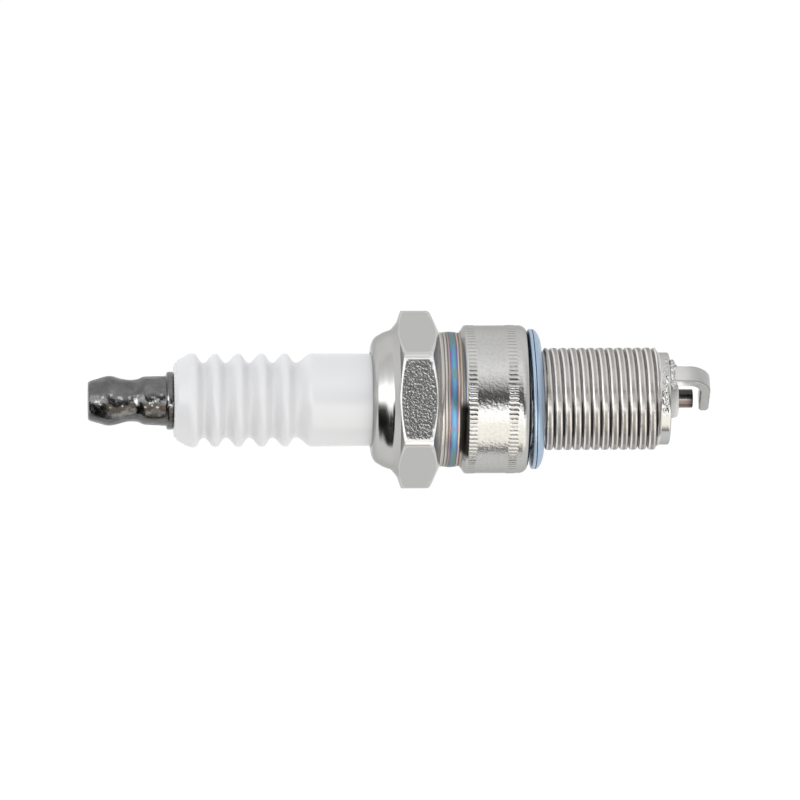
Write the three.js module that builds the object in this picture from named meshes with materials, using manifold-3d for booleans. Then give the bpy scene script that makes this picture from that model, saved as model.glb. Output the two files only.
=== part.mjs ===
// Spark plug with an M14 x 1.25 thread, a 19 mm reach and a 20.8 mm hexagon.
//
// Millimetres, +Z up. The plug lies along X, with the terminal nut towards -X, the firing end
// towards +X and one flat of the hexagon resting on Z = 0. Every station below is a distance along
// the axis from the shell's gasket seat, positive towards the firing end.

import * as THREE from 'three';
import { RoundedBoxGeometry } from 'three/addons/geometries/RoundedBoxGeometry.js';
import { ParametricGeometry } from 'three/addons/geometries/ParametricGeometry.js';
import { mergeVertices } from 'three/addons/utils/BufferGeometryUtils.js';
import Module from 'manifold-3d';

const wasm = await Module();
wasm.setup();

// ---------------------------------------------------------------- driving dimensions

const HEX_ACROSS_FLATS = 20.8;
const HEX_CORNER_RADIUS = 11.9;
const AXIS_HEIGHT = HEX_ACROSS_FLATS / 2;
const SEAT_X = 17.2;

const AROUND = 40;
const AROUND_SMALL = 24;
const ROUND_STEPS = 2;
const FIT = 0.15;

const TERMINAL_END = -58.8;
const TERMINAL_FOOT = -47.5;
const TERMINAL_BALL_RADIUS = 3.3;
const TERMINAL_WAIST_RADIUS = 2.8;
const TERMINAL_BARREL_RADIUS = 3.27;
const TERMINAL_FLANGE_RADIUS = 3.88;
const TERMINAL_BORE_RADIUS = 2.15;
const TERMINAL_BORE_END = -56.6;

const STUD_RADIUS = 2.0;
const STUD_END = -56.2;
const STUD_TAIL_RADIUS = 1.4;
const STUD_TAIL_START = -27.6;
const STUD_TAIL_END = -24.0;

const INSULATOR_TOP = -47.35;
const INSULATOR_BODY_RADIUS = 6.2;
const INSULATOR_WAIST_RADIUS = 5.03;
const INSULATOR_SHOULDER_RADIUS = 7.6;
const INSULATOR_BARREL_RADIUS = 4.85;
const INSULATOR_NOSE_END = 20.28;
const INSULATOR_BORE_RADIUS = 2.3;
const INSULATOR_BORE_STEP = -3.0;
const ELECTRODE_BORE_RADIUS = 1.42;
const RIB_COUNT = 5;
const RIB_PITCH = 3.13;
const RIB_FALL = 1.2;
const FIRST_RIB = -44.82;

const RESISTOR_START = -19.0;
const RESISTOR_END = -9.0;
const LOWER_SEAL_END = -4.4;

const ELECTRODE_RADIUS = 1.25;
const ELECTRODE_HEAD = -5.6;
const ELECTRODE_HEAD_RADIUS = 1.5;
const ELECTRODE_FLANGE_RADIUS = 2.1;
const ELECTRODE_TIP = 22.24;
const CORE_RADIUS = 0.6;
const CORE_START = -5.4;
const CORE_END = 17.8;

const SHELL_TOP = -21.1;
const SHELL_END = 19.0;
const SHELL_BARREL_RADIUS = 10.0;
const SHELL_BORE_RADIUS = 7.8;
const SHELL_TIP_RADIUS = 6.17;
const SHELL_MOUTH_RADIUS = 4.7;
const HEX_START = -17.5;
const HEX_END = -11.8;
const KNURL_TEETH = 96;
const KNURL_ROOT_RADIUS = 10.02;
const KNURL_TIP_RADIUS = 10.13;
const KNURL_BANDS = [[-8.2, -7.2], [-2.7, -1.5]];

const THREAD_PITCH = 1.25;
const THREAD_CREST_RADIUS = 6.9;
const THREAD_ROOT_RADIUS = 6.23;
const THREAD_CREST_WIDTH = 0.5;
const THREAD_ROOT_WIDTH = 0.18;
const THREAD_START = 2.4;
const THREAD_END = 17.5;
const THREAD_FADE = 0.9;
const THREAD_BURIED_RADIUS = 5.8;

const PACKING_RING_RADIUS = 7.0;
const PACKING_WIRE_RADIUS = 0.65;
const UPPER_RING_STATION = -19.25;
const LOWER_RING_STATION = -16.1;
const TALC_START = -18.45;
const TALC_END = -16.9;

const GASKET_START = 0.2;
const GASKET_FACE = 2.1;
const GASKET_OUTER_RADIUS = 9.45;
const GASKET_INNER_RADIUS = 6.62;
const GASKET_LAND_RADIUS = 7.05;

const BAR_WIDTH = 2.5;
const BAR_THICKNESS = 1.35;
const BAR_RADIUS = 5.45;
const BAR_OUTER_BEND = 2.95;
const BAR_REACH = 5.4;
const BAR_PAST_AXIS = 1.25;
const BAR_EDGE = 0.15;
const BAR_FOOT_GAP = 0.08;
const BAR_ANGLE = THREE.MathUtils.degToRad(57);

// ---------------------------------------------------------------- materials

function finish(name, color, roughness, metalness) {
  const material = new THREE.MeshStandardMaterial({ color, roughness, metalness });
  material.name = name;
  return material;
}

const nickelPlate = () => finish('nickel_plate', 0xc9c5be, 0.28, 1.0);
const terminalSteel = () => finish('terminal_steel', 0x55565a, 0.32, 1.0);
const studSteel = () => finish('stud_steel', 0x9a9a9c, 0.4, 1.0);
const glazedAlumina = () => finish('glazed_alumina', 0xf3f4f7, 0.12, 0.0);
const glassSeal = () => finish('glass_seal', 0x3d4440, 0.35, 0.0);
const resistorBody = () => finish('resistor_body', 0x2a2727, 0.7, 0.0);
const nickelAlloy = () => finish('nickel_alloy', 0x8d8983, 0.4, 1.0);
const copper = () => finish('copper', 0xb8693f, 0.35, 1.0);
const talc = () => finish('talc', 0xdedad0, 0.9, 0.0);
const packingSteel = () => finish('packing_steel', 0x8b8c8f, 0.45, 1.0);
const bluedZinc = () => finish('blued_zinc', 0xa3bad0, 0.3, 1.0);

// ---------------------------------------------------------------- turned and cut solids

// A profile is a list of corners [station, radius] or [station, radius, round], where round is how
// far back along both sides the corner starts to curve.
function turnedProfile(corners) {
  const at = (index) => {
    const [station, radius] = corners[(index + corners.length) % corners.length];
    return new THREE.Vector2(radius, station);
  };
  const points = [];
  corners.forEach(([, , round], index) => {
    const corner = at(index);
    if (!round) {
      points.push(corner);
      return;
    }
    const towards = (other) => other.sub(corner).setLength(round).add(corner);
    const curve = new THREE.QuadraticBezierCurve(towards(at(index - 1)), corner, towards(at(index + 1)));
    points.push(...curve.getPoints(ROUND_STEPS));
  });
  return points;
}

// A solid of revolution about the plug's axis. A hollow profile closes on its own first point.
function turned(points, closed = false, around = AROUND) {
  const profile = closed ? [...points, points[0].clone()] : points;
  return new THREE.LatheGeometry(profile, around);
}

function merged(geometry) {
  const bare = geometry.clone();
  bare.deleteAttribute('normal');
  bare.deleteAttribute('uv');
  return mergeVertices(bare, 1e-5);
}

function solid(geometry) {
  const shape = merged(geometry);
  return new wasm.Manifold(new wasm.Mesh({
    numProp: 3,
    vertProperties: new Float32Array(shape.attributes.position.array),
    triVerts: new Uint32Array(shape.index.array),
  }));
}

function geometryOf(manifold) {
  const cut = manifold.getMesh();
  const geometry = new THREE.BufferGeometry();
  geometry.setAttribute('position', new THREE.Float32BufferAttribute(cut.vertProperties, 3));
  geometry.setIndex(new THREE.Uint32BufferAttribute(cut.triVerts, 1));
  geometry.computeVertexNormals();
  return geometry;
}

// ---------------------------------------------------------------- terminal

function terminalNut() {
  const neck = new THREE.SplineCurve([
    new THREE.Vector2(2.72, TERMINAL_END + 0.3),
    new THREE.Vector2(3.1, -57.5),
    new THREE.Vector2(TERMINAL_BALL_RADIUS, -56.1),
    new THREE.Vector2(3.08, -54.6),
    new THREE.Vector2(TERMINAL_WAIST_RADIUS, -53.15),
    new THREE.Vector2(2.93, -52.2),
    new THREE.Vector2(TERMINAL_BARREL_RADIUS, -51.4),
  ]);
  const foot = turnedProfile([
    [-51.4, TERMINAL_BARREL_RADIUS],
    [-48.45, TERMINAL_BARREL_RADIUS],
    [-48.4, TERMINAL_FLANGE_RADIUS, 0.25],
    [TERMINAL_FOOT, TERMINAL_FLANGE_RADIUS, 0.2],
    [TERMINAL_FOOT, TERMINAL_BORE_RADIUS],
    [TERMINAL_BORE_END, TERMINAL_BORE_RADIUS],
    [TERMINAL_BORE_END - 0.9, 0],
  ]);
  return turned([
    new THREE.Vector2(0, TERMINAL_END),
    new THREE.Vector2(2.35, TERMINAL_END),
    ...neck.getPoints(12),
    ...foot.slice(1),
  ]);
}

function terminalStud() {
  return turned(turnedProfile([
    [STUD_END, 0],
    [STUD_END, STUD_RADIUS, 0.4],
    [STUD_TAIL_START, STUD_RADIUS, 0.3],
    [STUD_TAIL_START, STUD_TAIL_RADIUS],
    [STUD_TAIL_END, STUD_TAIL_RADIUS, 0.3],
    [STUD_TAIL_END, 0],
  ]), false, AROUND_SMALL);
}

// ---------------------------------------------------------------- insulator and what it holds

// Each rib climbs gently from the terminal side and drops more steeply towards the hexagon, both as
// half a cosine wave.
function ribPoints() {
  const points = [];
  const wave = (fromStation, toStation, fromRadius, toRadius, steps) => {
    for (let step = 1; step <= steps; step += 1) {
      const share = step / steps;
      const ease = (1 - Math.cos(Math.PI * share)) / 2;
      points.push([
        fromStation + (toStation - fromStation) * share,
        fromRadius + (toRadius - fromRadius) * ease,
      ]);
    }
  };
  for (let rib = 0; rib < RIB_COUNT; rib += 1) {
    const crest = FIRST_RIB + rib * RIB_PITCH;
    const valley = crest + RIB_FALL;
    wave(crest, valley, INSULATOR_BODY_RADIUS, INSULATOR_WAIST_RADIUS, 3);
    wave(valley, crest + RIB_PITCH, INSULATOR_WAIST_RADIUS, INSULATOR_BODY_RADIUS, 3);
  }
  return points;
}

function insulator() {
  return turned(turnedProfile([
    [INSULATOR_TOP, INSULATOR_BORE_RADIUS],
    [INSULATOR_TOP, 4.85, 0.2],
    [FIRST_RIB - 0.4, INSULATOR_BODY_RADIUS - 0.15],
    [FIRST_RIB, INSULATOR_BODY_RADIUS],
    ...ribPoints(),
    [-15.6, INSULATOR_BODY_RADIUS],
    [-14.9, INSULATOR_SHOULDER_RADIUS],
    [-4.6, INSULATOR_SHOULDER_RADIUS],
    [-2.3, INSULATOR_BARREL_RADIUS],
    [5.9, INSULATOR_BARREL_RADIUS],
    [6.8, 3.7],
    [7.3, 3.6],
    [19.0, 2.64],
    [INSULATOR_NOSE_END, 2.54, 0.5],
    [INSULATOR_NOSE_END, ELECTRODE_BORE_RADIUS],
    [INSULATOR_BORE_STEP, ELECTRODE_BORE_RADIUS],
    [INSULATOR_BORE_STEP, INSULATOR_BORE_RADIUS],
  ]), true);
}

// The conductive glass closes round the stud's tail at the top and round the electrode's head below.
function upperGlassSeal() {
  const radius = INSULATOR_BORE_RADIUS - FIT;
  return turned(turnedProfile([
    [STUD_TAIL_START + FIT, STUD_TAIL_RADIUS + FIT],
    [STUD_TAIL_START + FIT, radius],
    [RESISTOR_START - FIT, radius],
    [RESISTOR_START - FIT, 0],
    [STUD_TAIL_END + FIT, 0],
    [STUD_TAIL_END + FIT, STUD_TAIL_RADIUS + FIT],
  ]), true, AROUND_SMALL);
}

function resistor() {
  const radius = INSULATOR_BORE_RADIUS - FIT;
  return turned(turnedProfile([
    [RESISTOR_START, 0],
    [RESISTOR_START, radius],
    [RESISTOR_END, radius],
    [RESISTOR_END, 0],
  ]), false, AROUND_SMALL);
}

function lowerGlassSeal() {
  const radius = INSULATOR_BORE_RADIUS - FIT;
  return turned(turnedProfile([
    [RESISTOR_END + FIT, 0],
    [RESISTOR_END + FIT, radius],
    [LOWER_SEAL_END, radius],
    [LOWER_SEAL_END, ELECTRODE_HEAD_RADIUS + FIT],
    [ELECTRODE_HEAD - FIT, ELECTRODE_HEAD_RADIUS + FIT],
    [ELECTRODE_HEAD - FIT, 0],
  ]), false, AROUND_SMALL);
}

function centreElectrode() {
  return turned(turnedProfile([
    [ELECTRODE_HEAD, CORE_RADIUS + FIT],
    [ELECTRODE_HEAD, ELECTRODE_HEAD_RADIUS, 0.2],
    [LOWER_SEAL_END + FIT, ELECTRODE_HEAD_RADIUS],
    [LOWER_SEAL_END + FIT, ELECTRODE_FLANGE_RADIUS],
    [INSULATOR_BORE_STEP - FIT, ELECTRODE_FLANGE_RADIUS],
    [INSULATOR_BORE_STEP - FIT, ELECTRODE_RADIUS],
    [ELECTRODE_TIP, ELECTRODE_RADIUS, 0.15],
    [ELECTRODE_TIP, 0],
    [CORE_END + FIT, 0],
    [CORE_END + FIT, CORE_RADIUS + FIT],
  ]), true, AROUND_SMALL);
}

function centreElectrodeCore() {
  return turned(turnedProfile([
    [CORE_START, 0],
    [CORE_START, CORE_RADIUS],
    [CORE_END, CORE_RADIUS, 0.3],
    [CORE_END, 0],
  ]), false, AROUND_SMALL);
}

// ---------------------------------------------------------------- shell

// Everything on the outside of the shell that is round, from the crimped lip to the plain tip.
function shellOutside() {
  return turned(turnedProfile([
    [SHELL_TOP, 0],
    [SHELL_TOP, 6.6],
    [-20.7, 7.9, 0.5],
    [-20.1, 8.75, 0.5],
    [-18.2, 9.42, 0.4],
    [-17.3, 10.1],
    [-12.0, 9.6],
    [-11.6, 9.0, 0.2],
    [-10.5, 9.18, 0.6],
    [-9.2, 9.02, 0.3],
    [-8.45, SHELL_BARREL_RADIUS, 0.3],
    [0, SHELL_BARREL_RADIUS, 0.9],
    [0, SHELL_TIP_RADIUS],
    [THREAD_START + 0.3, SHELL_TIP_RADIUS],
    [THREAD_START + 0.3, THREAD_BURIED_RADIUS],
    [THREAD_END - 0.3, THREAD_BURIED_RADIUS],
    [THREAD_END - 0.3, SHELL_TIP_RADIUS],
    [SHELL_END, SHELL_TIP_RADIUS, 0.4],
    [SHELL_END, 0],
  ]));
}

// The hexagon has corners towards -Y and +Y. A turned blank bevels both of its ends.
function hexagon() {
  const length = HEX_END - HEX_START;
  const circumradius = HEX_ACROSS_FLATS / 2 / Math.cos(Math.PI / 6);
  const prism = new THREE.CylinderGeometry(circumradius, circumradius, length, 6, 1, false, Math.PI / 6);
  prism.translate(0, (HEX_START + HEX_END) / 2, 0);
  const blank = turned(turnedProfile([
    [HEX_START - 0.1, 0],
    [HEX_START - 0.1, 9.9],
    [-16.6, HEX_CORNER_RADIUS],
    [-13.05, HEX_CORNER_RADIUS],
    [HEX_END + 0.1, 8.9],
    [HEX_END + 0.1, 0],
  ]));
  return solid(prism).intersect(solid(blank));
}

// A band of fine straight teeth rolled into the barrel.
function knurlBand([start, end]) {
  const outline = new THREE.Shape();
  for (let step = 0; step < KNURL_TEETH * 2; step += 1) {
    const angle = (step * Math.PI) / KNURL_TEETH;
    const radius = step % 2 ? KNURL_TIP_RADIUS : KNURL_ROOT_RADIUS;
    const x = radius * Math.cos(angle);
    const z = radius * Math.sin(angle);
    if (step) outline.lineTo(x, z);
    else outline.moveTo(x, z);
  }
  const band = new THREE.ExtrudeGeometry(outline, { depth: end - start, bevelEnabled: false });
  band.rotateX(-Math.PI / 2);
  band.translate(0, start, 0);
  return solid(band);
}

// The threaded stretch is a cylinder whose ridge winds right-handed. Along any line parallel to the
// axis the surface runs root, flank, crest, flank, and every stretch moves one pitch further per turn.
// The ridge fades into the root at both ends.
function threadedStretch() {
  const flank = (THREAD_PITCH - THREAD_CREST_WIDTH - THREAD_ROOT_WIDTH) / 2;
  const wave = [
    [0, THREAD_ROOT_RADIUS],
    [THREAD_ROOT_WIDTH, THREAD_ROOT_RADIUS],
    [THREAD_ROOT_WIDTH + flank, THREAD_CREST_RADIUS],
    [THREAD_PITCH - flank, THREAD_CREST_RADIUS],
  ];
  const turns = Math.ceil((THREAD_END - THREAD_START) / THREAD_PITCH) + 1;
  const last = turns * wave.length + 1;
  const surface = (across, along, target) => {
    const index = Math.round(along * last);
    const angle = across * Math.PI * 2;
    if (index === 0 || index === last) {
      target.set(0, index ? THREAD_END : THREAD_START, 0);
      return;
    }
    const [offset, radius] = wave[(index - 1) % wave.length];
    const turn = Math.floor((index - 1) / wave.length) + across - 1;
    const free = THREAD_START + turn * THREAD_PITCH + offset;
    const station = Math.min(Math.max(free, THREAD_START), THREAD_END);
    const inset = Math.min(station - THREAD_START, THREAD_END - station);
    const height = (radius - THREAD_ROOT_RADIUS) * Math.min(1, inset / THREAD_FADE);
    const size = THREAD_ROOT_RADIUS + height;
    target.set(size * Math.sin(angle), station, size * Math.cos(angle));
  };
  return solid(new ParametricGeometry(surface, AROUND, last));
}

// The bore steps down to a shelf for the insulator and opens again round its nose.
function shellBore() {
  return turned(turnedProfile([
    [SHELL_TOP - 1, 0],
    [SHELL_TOP - 1, INSULATOR_BODY_RADIUS + FIT],
    [-20.5, INSULATOR_BODY_RADIUS + FIT],
    [-19.7, SHELL_BORE_RADIUS],
    [-4.4, SHELL_BORE_RADIUS],
    [-2.1, 5.1],
    [6.3, 5.1],
    [7.2, 4.0],
    [8.2, 4.0],
    [9.0, SHELL_MOUTH_RADIUS],
    [SHELL_END + 1, SHELL_MOUTH_RADIUS],
    [SHELL_END + 1, 0],
  ]));
}

function shell() {
  let body = solid(shellOutside()).add(hexagon()).add(threadedStretch());
  for (const band of KNURL_BANDS) {
    body = body.add(knurlBand(band));
  }
  return geometryOf(body.subtract(solid(shellBore())));
}

// ---------------------------------------------------------------- packings between shell and insulator

function packingRing(station) {
  const ring = new THREE.TorusGeometry(PACKING_RING_RADIUS, PACKING_WIRE_RADIUS, 8, AROUND_SMALL);
  ring.rotateX(Math.PI / 2);
  ring.translate(0, station, 0);
  return ring;
}

function talcPacking() {
  const inner = INSULATOR_BODY_RADIUS + FIT;
  const outer = SHELL_BORE_RADIUS - FIT;
  return turned(turnedProfile([
    [TALC_START, inner],
    [TALC_START, outer],
    [TALC_END, outer],
    [TALC_END, inner],
  ]), true);
}

// A thin coned sheet ring between the insulator's lower step and the shelf in the shell.
function innerSeatPacking() {
  return turned(turnedProfile([
    [6.15, 4.72],
    [6.42, 4.72],
    [6.96, 4.06],
    [6.69, 4.06],
  ]), true);
}

// ---------------------------------------------------------------- sealing gasket

// A crush gasket folded from sheet: cylindrical on the shell's side, a seam round its rim, a domed
// flank and a flat land that meets the cylinder head. The land starts outside the thread's crests.
function gasket() {
  return turned(turnedProfile([
    [GASKET_START, GASKET_INNER_RADIUS, 0.2],
    [GASKET_START, GASKET_OUTER_RADIUS, 0.15],
    [0.72, GASKET_OUTER_RADIUS],
    [0.78, GASKET_OUTER_RADIUS - 0.25],
    [0.84, GASKET_OUTER_RADIUS],
    [1.25, GASKET_OUTER_RADIUS, 0.25],
    [GASKET_FACE, 8.3, 0.3],
    [GASKET_FACE, GASKET_LAND_RADIUS],
    [1.95, 6.74, 0.1],
    [1.7, GASKET_INNER_RADIUS],
  ]), true);
}

// ---------------------------------------------------------------- ground electrode

// The bar leaves the end of the shell, bends over the insulator's nose and ends past the axis.
// Its outline is drawn with X along the plug from the shell's end and Y outwards from the axis.
function groundElectrode() {
  const outside = BAR_RADIUS + BAR_THICKNESS / 2;
  const inside = BAR_RADIUS - BAR_THICKNESS / 2;
  const bendX = BAR_REACH - BAR_OUTER_BEND;
  const bendY = outside - BAR_OUTER_BEND;
  const innerBend = BAR_OUTER_BEND - BAR_THICKNESS;
  const tipRound = 0.3;

  const outline = new THREE.Shape();
  outline.moveTo(BAR_FOOT_GAP, inside);
  outline.lineTo(bendX, inside);
  outline.absarc(bendX, bendY, innerBend, Math.PI / 2, 0, true);
  outline.lineTo(BAR_REACH - BAR_THICKNESS, -BAR_PAST_AXIS + tipRound);
  outline.quadraticCurveTo(
    BAR_REACH - BAR_THICKNESS, -BAR_PAST_AXIS,
    BAR_REACH - BAR_THICKNESS + tipRound, -BAR_PAST_AXIS,
  );
  outline.lineTo(BAR_REACH - tipRound, -BAR_PAST_AXIS);
  outline.quadraticCurveTo(BAR_REACH, -BAR_PAST_AXIS, BAR_REACH, -BAR_PAST_AXIS + tipRound);
  outline.lineTo(BAR_REACH, bendY);
  outline.absarc(bendX, bendY, BAR_OUTER_BEND, 0, Math.PI / 2, false);
  outline.lineTo(BAR_FOOT_GAP, outside);
  outline.closePath();

  const bar = new THREE.ExtrudeGeometry(outline, {
    depth: BAR_WIDTH - 2 * BAR_EDGE,
    bevelThickness: BAR_EDGE,
    bevelSize: BAR_EDGE,
    bevelOffset: -BAR_EDGE,
    bevelSegments: 2,
    curveSegments: 10,
  });
  bar.translate(0, 0, BAR_EDGE - BAR_WIDTH / 2);

  const flashLength = 0.75;
  const flash = new RoundedBoxGeometry(flashLength, 1.85, BAR_WIDTH + 0.9, 2, 0.3);
  flash.translate(BAR_FOOT_GAP + flashLength / 2, BAR_RADIUS, 0);
  return geometryOf(solid(bar).add(solid(flash)));
}

// ---------------------------------------------------------------- assembly

const plug = new THREE.Group();
plug.name = 'spark_plug';

function place(name, geometry, material) {
  const mesh = new THREE.Mesh(geometry, material);
  mesh.name = name;
  mesh.position.set(SEAT_X, 0, AXIS_HEIGHT);
  plug.add(mesh);
  return mesh;
}

// Turned pieces are made along Y and laid down so that their stations run towards +X.
function placeTurned(name, geometry, material) {
  geometry.rotateZ(-Math.PI / 2);
  return place(name, geometry, material);
}

placeTurned('terminal_nut', terminalNut(), terminalSteel());
placeTurned('terminal_stud', terminalStud(), studSteel());
placeTurned('insulator', insulator(), glazedAlumina());
placeTurned('upper_glass_seal', upperGlassSeal(), glassSeal());
placeTurned('resistor', resistor(), resistorBody());
placeTurned('lower_glass_seal', lowerGlassSeal(), glassSeal());
placeTurned('centre_electrode', centreElectrode(), nickelAlloy());
placeTurned('centre_electrode_core', centreElectrodeCore(), copper());
placeTurned('shell', shell(), nickelPlate());
placeTurned('upper_packing_ring', packingRing(UPPER_RING_STATION), packingSteel());
placeTurned('talc_packing', talcPacking(), talc());
placeTurned('lower_packing_ring', packingRing(LOWER_RING_STATION), packingSteel());
placeTurned('inner_seat_packing', innerSeatPacking(), packingSteel());
placeTurned('gasket', gasket(), bluedZinc());

const bar = place('ground_electrode', groundElectrode(), nickelAlloy());
bar.position.x = SEAT_X + SHELL_END;
bar.rotation.x = BAR_ANGLE;

export default plug;
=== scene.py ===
import math

import bmesh
import bpy
from mathutils import Matrix, Vector, noise


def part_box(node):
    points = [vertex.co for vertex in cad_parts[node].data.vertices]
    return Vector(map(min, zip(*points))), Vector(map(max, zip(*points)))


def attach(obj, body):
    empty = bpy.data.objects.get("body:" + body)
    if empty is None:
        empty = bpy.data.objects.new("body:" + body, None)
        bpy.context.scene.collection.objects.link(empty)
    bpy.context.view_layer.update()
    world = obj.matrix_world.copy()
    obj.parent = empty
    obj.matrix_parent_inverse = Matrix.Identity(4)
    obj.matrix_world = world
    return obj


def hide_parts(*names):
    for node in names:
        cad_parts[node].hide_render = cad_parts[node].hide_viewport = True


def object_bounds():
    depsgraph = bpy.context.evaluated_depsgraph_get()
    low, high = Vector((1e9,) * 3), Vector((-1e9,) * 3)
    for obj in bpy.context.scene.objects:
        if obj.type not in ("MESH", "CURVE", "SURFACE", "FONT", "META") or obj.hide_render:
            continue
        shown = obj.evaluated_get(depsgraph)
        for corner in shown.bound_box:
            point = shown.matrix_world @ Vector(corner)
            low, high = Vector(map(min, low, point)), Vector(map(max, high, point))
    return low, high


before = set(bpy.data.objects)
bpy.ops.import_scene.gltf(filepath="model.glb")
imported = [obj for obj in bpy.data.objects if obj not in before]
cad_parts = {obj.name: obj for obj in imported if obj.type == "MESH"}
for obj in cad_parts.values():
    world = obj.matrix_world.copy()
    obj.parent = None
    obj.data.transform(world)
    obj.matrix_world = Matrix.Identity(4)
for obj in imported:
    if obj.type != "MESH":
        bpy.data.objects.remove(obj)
cad_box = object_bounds()

# ---------------------------------------------------------------- frame

# Shapes are drawn in millimetres. A station is a distance along the plug's axis from the gasket
# seat, positive towards the firing end. Angles go round the axis from +Y towards +Z.
MM = 0.001
REACH = 19.0
shell_low, shell_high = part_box("shell")
SEAT_X = shell_high.x - REACH * MM
AXIS_Z = (shell_low.z + shell_high.z) / 2
TOP = math.pi / 2


def polar(station, radius, angle):
    """The point, in metres, at a station, a radius and an angle."""
    return (
        SEAT_X + station * MM,
        radius * MM * math.cos(angle),
        AXIS_Z + radius * MM * math.sin(angle),
    )


def unpolar(point):
    """Station, radius and angle of a point given in metres."""
    y = point[1] / MM
    z = (point[2] - AXIS_Z) / MM
    return (point[0] - SEAT_X) / MM, math.hypot(y, z), math.atan2(z, y)


def smoothstep(low, high, value):
    share = min(1.0, max(0.0, (value - low) / (high - low)))
    return share * share * (3 - 2 * share)


def window(value, low, high, soft):
    """1 between low and high, fading to 0 over soft on either side."""
    return smoothstep(low - soft, low, value) * (1 - smoothstep(high, high + soft, value))


def smooth_min(a, b, blend):
    overlap = max(blend - abs(a - b), 0.0) / blend
    return min(a, b) - overlap * overlap * blend / 4


def wrap(angle):
    """The angle brought between -pi and pi."""
    return (angle + math.pi) % (2 * math.pi) - math.pi


def degrees_from_minus_y(angle):
    return math.degrees(wrap(angle - math.pi))


def rough(point, size, seed=0.0):
    """Smooth noise between about -1 and 1 whose lumps measure size millimetres."""
    return noise.noise(Vector(point) / (size * MM) + Vector((seed, seed * 1.7, seed * 0.3)))


# ---------------------------------------------------------------- meshes

class Turned:
    """A closed surface made ring by ring round the plug's axis."""

    def __init__(self):
        self.points = []
        self.faces = []
        self.first = None
        self.last = None

    def strip(self, one, other):
        """Faces between two rings, which may have different numbers of points."""
        if len(one) == len(other):
            count = len(one)
            for step in range(count):
                after = (step + 1) % count
                self.faces.append((one[step], one[after], other[after], other[step]))
            return
        i = j = 0
        while i < len(one) or j < len(other):
            if j >= len(other) or (i < len(one) and (i + 1) * len(other) <= (j + 1) * len(one)):
                if len(one) > 1:
                    self.faces.append(
                        (one[i % len(one)], one[(i + 1) % len(one)], other[j % len(other)])
                    )
                i += 1
            else:
                if len(other) > 1:
                    self.faces.append(
                        (one[i % len(one)], other[(j + 1) % len(other)], other[j % len(other)])
                    )
                j += 1

    def ring(self, station, radius, count):
        """radius is a number, or a function of the angle. A count of 1 is a point on the axis."""
        start = len(self.points)
        for step in range(count):
            angle = 2 * math.pi * step / count
            size = radius(angle) if callable(radius) else radius
            self.points.append(polar(station, size, angle))
        ring = list(range(start, len(self.points)))
        if self.last is None:
            self.first = ring
        else:
            self.strip(self.last, ring)
        self.last = ring

    def rings(self, profile, count):
        for station, radius in profile:
            self.ring(station, radius, 1 if radius == 0 else count)

    def close(self):
        self.strip(self.last, self.first)

    def thread(self, start, end, pitch, root, crest, fade, count, samples=14, phase=0.0):
        """A right-hand screw thread from the last ring to a new ring of the same count at end.

        Rows follow the helix. Rows beyond either end fold onto its ring and are merged later.
        """
        self.ring(start, root, count)
        turns = math.ceil((end - start) / pitch) + 2
        rows = turns * samples + 1
        base = len(self.points)
        for row in range(rows):
            shape = thread_shape(row / samples % 1.0)
            for column in range(count + 1):
                share = column / count
                free = start + phase + (row / samples - 1 + share) * pitch
                station = min(max(free, start), end)
                inset = min(station - start, end - station)
                height = (crest - root) * shape * smoothstep(0, fade, inset)
                self.points.append(polar(station, root + height, 2 * math.pi * share))
        width = count + 1
        for row in range(rows - 1):
            for column in range(count):
                corner = base + row * width + column
                self.faces.append((corner, corner + 1, corner + width + 1, corner + width))
        self.last = None
        first = self.first
        self.ring(end, root, count)
        self.first = first


def thread_shape(share):
    """Height of the thread across one pitch: a broad rounded crest between narrow grooves."""
    return 1 - abs(2 * share - 1) ** 5.0


def rounded(corners, steps=6, support=0.03):
    """Corners are (station, radius) or (station, radius, round): round is how far back along both
    sides the corner starts to curve. Two neighbours that ask for more than the side between them
    share it. Extra points beside each corner keep long sides flat."""
    count = len(corners)
    flat = [Vector((c[0], c[1])) for c in corners]
    sizes = [c[2] if len(c) > 2 else 0 for c in corners]
    sizes[0] = sizes[-1] = 0
    for index in range(count - 1):
        asked = sizes[index] + sizes[index + 1]
        side = (flat[index + 1] - flat[index]).length
        if asked > side:
            sizes[index] *= side / asked
            sizes[index + 1] *= side / asked
    profile = []
    for index, size in enumerate(sizes):
        here = flat[index]
        before = flat[index - 1] - here if index else None
        after = flat[index + 1] - here if index < count - 1 else None
        if before is not None and before.length > size + sizes[index - 1] + 4 * support:
            profile.append(here + before.normalized() * (size + support))
        if size and before is not None and after is not None:
            start = here + before.normalized() * size
            end = here + after.normalized() * size
            for step in range(steps + 1):
                share = step / steps
                profile.append(
                    start * (1 - share) ** 2 + here * 2 * share * (1 - share) + end * share ** 2
                )
        else:
            profile.append(here)
        if after is not None and after.length > size + sizes[index + 1] + 4 * support:
            profile.append(here + after.normalized() * (size + support))
    return [(point.x, max(point.y, 0.0)) for point in profile]


def build(name, points, faces, material, body, nodes=(), sharp=40):
    """Makes a piece from points and faces, merges doubled points and turns the faces outwards."""
    mesh = bpy.data.meshes.new(name)
    mesh.from_pydata(points, [], faces)
    work = bmesh.new()
    work.from_mesh(mesh)
    bmesh.ops.remove_doubles(work, verts=work.verts, dist=2e-4 * MM)
    bmesh.ops.dissolve_degenerate(work, edges=work.edges, dist=1e-4 * MM)
    bmesh.ops.recalc_face_normals(work, faces=work.faces)
    for face in work.faces:
        face.smooth = True
    work.to_mesh(mesh)
    work.free()
    mesh.set_sharp_from_angle(angle=math.radians(sharp))
    mesh.materials.append(material)
    piece = bpy.data.objects.new(name, mesh)
    bpy.context.scene.collection.objects.link(piece)
    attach(piece, body)
    if nodes:
        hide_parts(*nodes)
    return piece


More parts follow.
